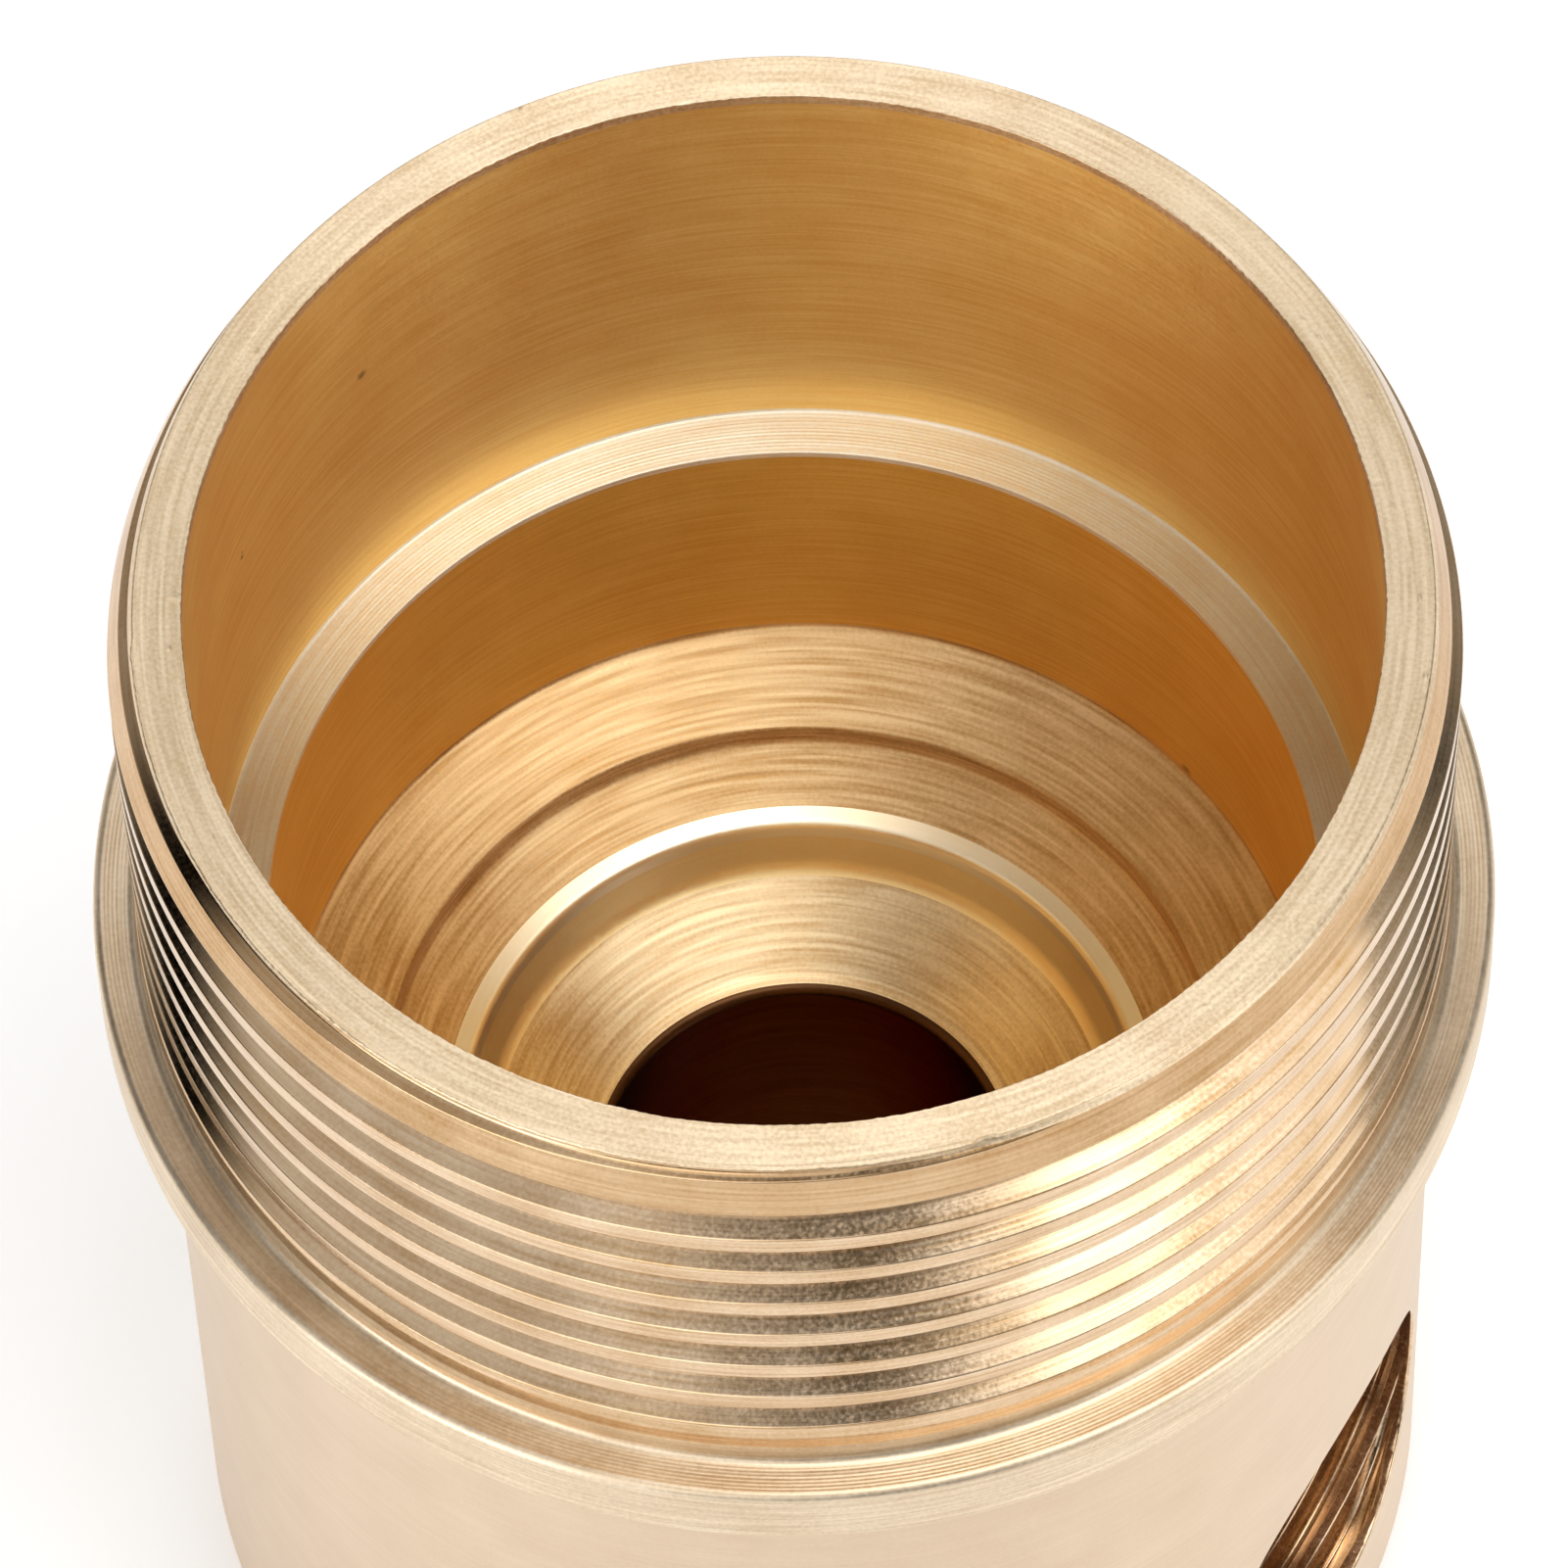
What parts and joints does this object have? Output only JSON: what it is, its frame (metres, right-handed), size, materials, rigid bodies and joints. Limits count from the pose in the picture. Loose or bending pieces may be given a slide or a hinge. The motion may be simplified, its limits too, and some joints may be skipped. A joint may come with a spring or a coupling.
{
  "type": "threaded brass fitting body",
  "caption": "Turned brass body, open at the top, with a male thread, a collar, a stepped bore right through and a tapped side port.",
  "frame": {"origin": "on the turning axis at the flat base", "axes": "+Z along the turning axis, from the base to the open threaded mouth; the side port points between +X and -Y"},
  "size_m": [0.0512, 0.0512, 0.06],
  "materials": {
    "brass": "satin, fine turning marks"
  },
  "bodies": {
    "root": {"threaded_body": "brass"}
  },
  "joints": []
}
